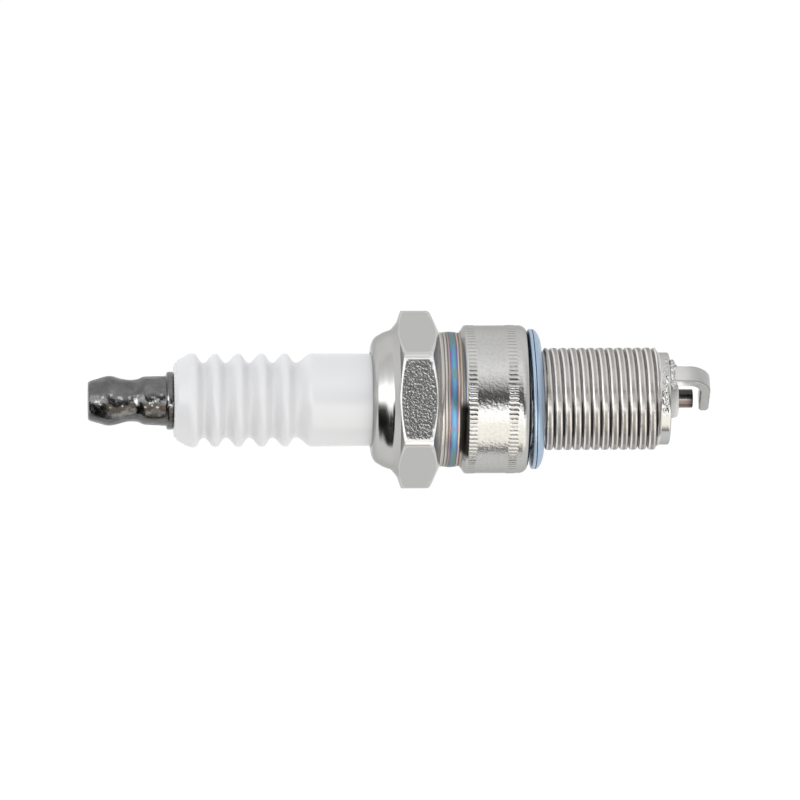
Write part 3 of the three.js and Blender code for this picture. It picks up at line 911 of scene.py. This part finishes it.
def gasket_piece():
    profile = rounded([
        (0.40, 6.95, 0.08), (0.33, 7.3, 0.1), (0.33, 9.28, 0.1), (0.45, 9.40, 0.08),
        (0.76, 9.40, 0.03), (0.82, 9.25, 0.03), (0.88, 9.40, 0.04), (1.10, 9.36, 0.22),
        (1.50, 8.95, 0.38), (1.84, 8.1, 0.3), (1.86, 7.3, 0.15), (1.76, 7.02, 0.1),
        (1.5, 6.96, 0.1), (1.45, 7.5, 0.1), (1.35, 7.5, 0.1), (1.3, 6.96, 0.1), (0.8, 6.94, 0.1),
    ], steps=4, support=0.02)
    body = Turned()
    body.rings(profile, 200)
    body.close()
    tilt = math.radians(1.2)
    wavy = []
    for point in body.points:
        station, radius, angle = unpolar(point)
        lean = -radius * math.cos(angle) * math.tan(tilt)
        ripple = 0.02 * math.sin(5 * angle + 0.7) * (radius / 9.4) ** 2
        wavy.append(polar(station + lean + ripple, radius, angle))
    piece = build(
        "gasket_folded", wavy, body.faces, gasket_finish(), "washer", ["gasket"], 50
    )

    def seam_shade(station, radius, angle):
        """Painted shade: the dark line in the notch where the gasket's folded sheet meets at its
        edge.
        """
        flat = station + radius * math.cos(angle) * math.tan(tilt)
        return 1.0 if 9.1 < radius < 9.36 and 0.7 < flat < 0.94 else 0.0

    paint(piece, "seam_shade", seam_shade)


# ---------------------------------------------------------------- firing end

def centre_electrode_piece():
    body = Turned()
    body.rings(rounded([
        (-5.5, 0.78), (-5.6, 0.9), (-5.6, 1.5, 0.2), (-4.25, 1.5), (-4.25, 2.1, 0.1),
        (-3.15, 2.1, 0.1), (-3.15, 1.25), (21.2, 1.25, 0.05), (22.24, 1.24, 0.12), (22.24, 0),
    ]), 96)
    body.rings([(17.95, 0), (17.9, 0.75)], 96)
    body.close()
    piece = build(
        "centre_electrode_rod", body.points, body.faces, electrode_finish(), "plug",
        ["centre_electrode"],
    )

    def off_tip(station):
        return station < 21.9

    def scorched_lit_side(station, radius, angle):
        return window(degrees_from_minus_y(angle), -86, 20, 5) * off_tip(station)

    # brown scorching with painted light on the side towards -Y; a painted highlight along the top
    paint(piece, "scorched_lit_side", scorched_lit_side)
    paint(piece, "electrode_highlight", lambda s, r, a: window(math.degrees(a), 88, 97, 4) * off_tip(s))


BAR_WIDTH, BAR_THICKNESS = 2.5, 1.35
BAR_RADIUS = 5.45
BAR_REACH = 5.4
BAR_BEND = 2.95 - BAR_THICKNESS / 2
BAR_TIP = -1.25
BAR_STRAIGHT = BAR_REACH - BAR_THICKNESS / 2 - BAR_BEND
BAR_QUARTER = BAR_BEND * math.pi / 2


def bar_frame(length):
    """Centre and outward direction, as (station, height from the axis), this far along the bar."""
    if length < BAR_STRAIGHT:
        return Vector((REACH + length, BAR_RADIUS)), Vector((0, 1))
    turn = min((length - BAR_STRAIGHT) / BAR_BEND, math.pi / 2)
    outward = Vector((math.sin(turn), math.cos(turn)))
    centre = Vector((REACH + BAR_STRAIGHT, BAR_RADIUS - BAR_BEND)) + outward * BAR_BEND
    past = max(0.0, length - BAR_STRAIGHT - BAR_QUARTER)
    return centre + Vector((0, -past)), outward


def bar_point(along, out, side):
    """A point of the firing end: height from the axis towards the bar, and sideways."""
    up = Vector((0, math.cos(BAR_ANGLE), math.sin(BAR_ANGLE)))
    across = Vector((0, -math.sin(BAR_ANGLE), math.cos(BAR_ANGLE)))
    axis = Vector((SEAT_X + along * MM, 0, AXIS_Z))
    return tuple(axis + up * out * MM + across * side * MM)


def rounded_rectangle(width, height, corner, steps=4):
    """Outline points (across, up) of a rectangle with rounded corners."""
    outline = []
    for index, (sx, sy) in enumerate(((1, 1), (-1, 1), (-1, -1), (1, -1))):
        for step in range(steps + 1):
            angle = (index + step / steps) * math.pi / 2
            outline.append((
                sx * (width / 2 - corner) + corner * math.cos(angle),
                sy * (height / 2 - corner) + corner * math.sin(angle),
            ))
    return outline


def ground_electrode_piece():
    total = BAR_STRAIGHT + BAR_QUARTER + (BAR_RADIUS - BAR_BEND) - BAR_TIP
    foot = 0.06
    tip_round = 0.62
    lengths = [foot + (total - tip_round - foot) * step / 60 for step in range(61)]
    sizes = [1.0] * len(lengths)
    for step in range(1, 6):
        turn = step / 5 * math.pi / 2 * 0.86
        lengths.append(total - tip_round * (1 - math.sin(turn)))
        sizes.append(1 - (1 - math.cos(turn)) * tip_round / (BAR_THICKNESS / 2))
    points = []
    faces = []
    for length, size in zip(lengths, sizes):
        centre, outward = bar_frame(length)
        loss = (1 - size) * BAR_THICKNESS
        outline = rounded_rectangle(BAR_WIDTH - 0.3 * loss, BAR_THICKNESS - loss, 0.26 * size)
        count = len(outline)
        for across, up in outline:
            spot = centre + outward * up
            nick = 0.02 * noise.noise(Vector((length * 0.9, across * 0.8, up + 4.0)))
            points.append(bar_point(spot.x, spot.y + nick, across * (1 + nick)))
    for ring in range(len(lengths) - 1):
        for step in range(count):
            after = (step + 1) % count
            low = ring * count
            faces.append((low + step, low + after, low + count + after, low + count + step))
    faces.append(tuple(range(count - 1, -1, -1)))
    faces.append(tuple(range(len(points) - count, len(points))))
    piece = build(
        "ground_electrode_bar", points, faces, nickel_alloy_finish(), "plug",
        ["ground_electrode"], 50,
    )

    def lie(radius, angle):
        """Distances of a point from the bar's middle, across it and away from the axis."""
        turn = angle - BAR_ANGLE
        return radius * math.sin(turn), radius * math.cos(turn)

    def dulled(station, radius, angle):
        """The leg that crosses the end of the plug is duller than the straight part."""
        out = lie(radius, angle)[1]
        return max(smoothstep(1.2, 3.2, station - REACH), smoothstep(4.6, 3.6, out)) * 0.85

    def edge(station, radius, angle):
        """Painted shade: a dark line along the bar's rounded edges."""
        across = lie(radius, angle)[0]
        return 0.8 * smoothstep(BAR_WIDTH / 2 - 0.20, BAR_WIDTH / 2 - 0.10, abs(across)) * (
            1 - smoothstep(BAR_WIDTH / 2 - 0.03, BAR_WIDTH / 2 - 0.01, abs(across))
        )

    def side_highlight(station, radius, angle):
        """Painted highlight: the straight part's sides are painted bright, and so is the leg's
        face towards the electrode.
        """
        across, out = lie(radius, angle)
        if out < BAR_RADIUS - BAR_BEND and station - REACH < BAR_REACH - BAR_THICKNESS + 0.05:
            return 0.7
        return smoothstep(BAR_WIDTH / 2 - 0.02, BAR_WIDTH / 2, abs(across)) * smoothstep(
            2.9, 1.2, station - REACH
        )

    paint(piece, "side_highlight", side_highlight)
    paint(piece, "dulled", dulled)
    paint(piece, "edge", edge)


def weld_piece():
    """Lumps of flash squeezed out round the foot of the bar, joined into one surface."""
    lumps = (
        (0.22, BAR_RADIUS - 0.04, 0.0, 0.56, 0.86, 1.70),
        (0.25, BAR_RADIUS + 0.05, 1.45, 0.62, 0.62, 0.50),
        (0.24, BAR_RADIUS - 0.05, -1.45, 0.66, 0.64, 0.52),
        (0.20, BAR_RADIUS + 0.10, -1.95, 0.42, 0.52, 0.60),
        (0.30, BAR_RADIUS + 0.42, 0.7, 0.56, 0.36, 0.62),
        (0.28, BAR_RADIUS + 0.40, -0.6, 0.50, 0.38, 0.70),
        (0.30, BAR_RADIUS - 0.5, 0.3, 0.40, 0.34, 0.9),
    )
    work = bmesh.new()
    for along, out, side, size_along, size_out, size_side in lumps:
        ball = bmesh.ops.create_icosphere(work, subdivisions=3, radius=1.0)
        for vertex in ball["verts"]:
            x, y, z = vertex.co
            station = REACH + max(-0.32, along + x * size_along)
            vertex.co = bar_point(station, out + y * size_out, side + z * size_side)
    mesh = bpy.data.meshes.new("weld")
    work.to_mesh(mesh)
    work.free()
    joined = bpy.data.objects.new("weld", mesh)
    bpy.context.scene.collection.objects.link(joined)
    remesh = joined.modifiers.new("join", "REMESH")
    remesh.mode = "VOXEL"
    remesh.voxel_size = 0.07 * MM
    solid = joined.evaluated_get(bpy.context.evaluated_depsgraph_get()).to_mesh()
    points = []
    for vertex in solid.vertices:
        spot = vertex.co.copy()
        across = spot.y * math.sin(BAR_ANGLE) - spot.z * math.cos(BAR_ANGLE)
        ridge = math.sin((spot.x + 0.5 * across) / MM * 11 + 2 * rough(spot, 0.9, 2.0))
        lump = 0.07 * rough(spot, 0.5, 7.0) + 0.05 * ridge
        spot += vertex.normal * lump * MM
        points.append(tuple(spot))
    faces = [tuple(polygon.vertices) for polygon in solid.polygons]
    bpy.data.objects.remove(joined)
    build(
        "ground_electrode_weld", points, faces, weld_finish(), "plug", (), 180
    )


# ---------------------------------------------------------------- pieces kept from the CAD

def finish_cad_nodes():
    glass = plain_finish(
        "glass_seal", (0.035, 0.045, 0.04), (0.10, 0.115, 0.10), 0.6, 0.3, 0.1, 0.02
    )
    core = plain_finish("copper", (0.62, 0.28, 0.15), (0.80, 0.42, 0.26), 0.7, 0.32, 1.0)
    carbon = plain_finish("resistor_body", (0.02, 0.018, 0.017), (0.055, 0.05, 0.048), 0.35, 0.75)
    powder = plain_finish("talc", (0.62, 0.60, 0.55), (0.80, 0.78, 0.73), 0.25, 0.9, 0.0, 0.03)
    wire = plain_finish("packing_steel", (0.34, 0.34, 0.35), (0.50, 0.50, 0.51), 0.4, 0.4, 1.0)
    finishes = {
        "upper_glass_seal": glass,
        "lower_glass_seal": glass,
        "resistor": carbon,
        "centre_electrode_core": core,
        "talc_packing": powder,
        "upper_packing_ring": wire,
        "lower_packing_ring": wire,
        "inner_seat_packing": wire,
    }
    for name, material in finishes.items():
        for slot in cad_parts[name].material_slots:
            slot.material = material


# ---------------------------------------------------------------- studio

BRIGHTEST = 2.5  # strongest light in the studio; the colour ramps hold shares of it


def studio_world():
    """A light tent with a dark ceiling and two soft boxes, given by direction.

    Across is the angle from straight up towards -Y. Along is the tilt towards +X.
    """
    world = bpy.data.worlds.new("studio")
    bpy.context.scene.world = world
    world.use_nodes = True
    tree = world.node_tree
    background = tree.nodes["Background"]

    def new(kind, **settings):
        node = tree.nodes.new(kind)
        for key, value in settings.items():
            setattr(node, key, value)
        return node

    def number(operation, a, b=0.0):
        node = new("ShaderNodeMath", operation=operation)
        for socket, value in zip(node.inputs, (a, b)):
            if isinstance(value, bpy.types.NodeSocket):
                tree.links.new(value, socket)
            else:
                socket.default_value = value
        return node.outputs[0]

    def step(value, low, high):
        node = new("ShaderNodeMapRange", interpolation_type="SMOOTHSTEP")
        tree.links.new(value, node.inputs["Value"])
        node.inputs["From Min"].default_value = math.radians(low)
        node.inputs["From Max"].default_value = math.radians(high)
        return node.outputs["Result"]

    def bands(value, stops):
        node = new("ShaderNodeValToRGB")
        tree.links.new(value, node.inputs[0])
        elements = node.color_ramp.elements
        while len(elements) < len(stops):
            elements.new(1.0)
        for element, (degrees, level, colour) in zip(elements, stops):
            element.position = degrees / 360 + 0.5
            element.color = (*[level * c / BRIGHTEST for c in colour], 1)
        return node.outputs[0]

    def mix(share, a, b):
        node = new("ShaderNodeMix", data_type="RGBA")
        tree.links.new(share, node.inputs[0])
        for socket, value in ((node.inputs[6], a), (node.inputs[7], b)):
            if isinstance(value, bpy.types.NodeSocket):
                tree.links.new(value, socket)
            else:
                socket.default_value = value
        return node.outputs[2]

    split = new("ShaderNodeSeparateXYZ")
    tree.links.new(new("ShaderNodeTexCoord").outputs["Generated"], split.inputs[0])
    x, y, z = split.outputs
    across = number("ARCTAN2", number("MULTIPLY", y, -1.0), z)
    along = number("ARCSINE", x)
    clamped = number("MINIMUM", number("MAXIMUM", along, math.radians(-45)), math.radians(25))
    slant = number("ADD", number("MULTIPLY", clamped, 0.86), math.radians(16.2))
    turn = number("ADD", number("DIVIDE", number("SUBTRACT", across, slant), 2 * math.pi), 0.5)

    white = (1.0, 1.0, 1.0)
    cream = (1.0, 0.965, 0.90)
    right = bands(turn, [
        (-160, 1.0, white), (-110, 1.05, white), (-88, 1.15, white), (-64, 1.40, white),
        (-50, 1.15, white), (-39, 0.66, white), (-31, 0.10, white), (-15, 0.03, white),
        (-10, 0.35, white), (-6, 2.3, white), (11, 2.3, white), (15, 1.85, cream),
        (44, 1.80, cream), (55, 1.7, cream), (62, 0.16, white), (69, 0.18, white),
        (77, 0.82, white), (90, 0.95, white), (160, 1.0, white),
    ])
    left = bands(turn, [
        (-160, 1.1, white), (-80, 0.88, white), (-55, 0.95, white), (-36, 1.1, white),
        (-22, 1.5, white), (-10, 2.3, white), (26, 2.3, white), (32, 1.1, white),
        (38, 0.22, white), (47, 0.02, white), (99, 0.01, white), (106, 0.15, white),
        (111, 0.6, white), (117, 0.9, white), (160, 1.05, white),
    ])
    ceiling = mix(step(along, -24, -7), left, right)
    far_left = mix(step(along, -86, -77), [1.15 / BRIGHTEST] * 3 + [1], ceiling)
    shown = mix(step(along, 30, 55), far_left, [0.85 / BRIGHTEST] * 3 + [1])
    tree.links.new(shown, background.inputs["Color"])
    background.inputs["Strength"].default_value = BRIGHTEST


def floor():
    half = 4.0
    mesh = bpy.data.meshes.new("floor")
    corners = [(-half, -half, 0), (half, -half, 0), (half, half, 0), (-half, half, 0)]
    mesh.from_pydata(corners, [], [(0, 1, 2, 3)])
    f = Finish("floor_white")
    f.set(
        Base_Color=(0.05, 0.05, 0.05, 1),
        Roughness=1.0,
        Specular_IOR_Level=0.0,
        Emission_Color=(1, 1, 1, 1),
        Emission_Strength=0.97,
    )
    mesh.materials.append(f.material)
    ground = bpy.data.objects.new("floor", mesh)
    bpy.context.scene.collection.objects.link(ground)
    ground.location.z = cad_box[0][2] - 0.0002


def camera():
    """Nearly straight down from far away, tipped a little towards the terminal end."""
    tip = math.radians(3.2)
    roll = math.radians(0.24)
    distance = 1.5
    frame_width = 0.1071
    target = Vector((0.00019, -0.00005, AXIS_Z))
    look = Vector((math.sin(tip), 0, -math.cos(tip)))
    up = Vector((math.sin(roll), math.cos(roll), 0))
    right = look.cross(up).normalized()
    up = right.cross(look).normalized()
    data = bpy.data.cameras.new("camera")
    data.sensor_width = 36
    data.lens = data.sensor_width * distance / frame_width
    data.clip_end = 20
    eye = bpy.data.objects.new("camera", data)
    bpy.context.scene.collection.objects.link(eye)
    turn = Matrix((right, up, -look)).transposed().to_4x4()
    eye.matrix_world = Matrix.Translation(target - look * distance) @ turn
    bpy.context.scene.camera = eye


bpy.context.scene.view_settings.view_transform = "Standard"

shell_piece()
insulator_piece()
terminal_nut_piece()
terminal_stud_piece()
gasket_piece()
centre_electrode_piece()
ground_electrode_piece()
weld_piece()
finish_cad_nodes()
studio_world()
floor()
camera()
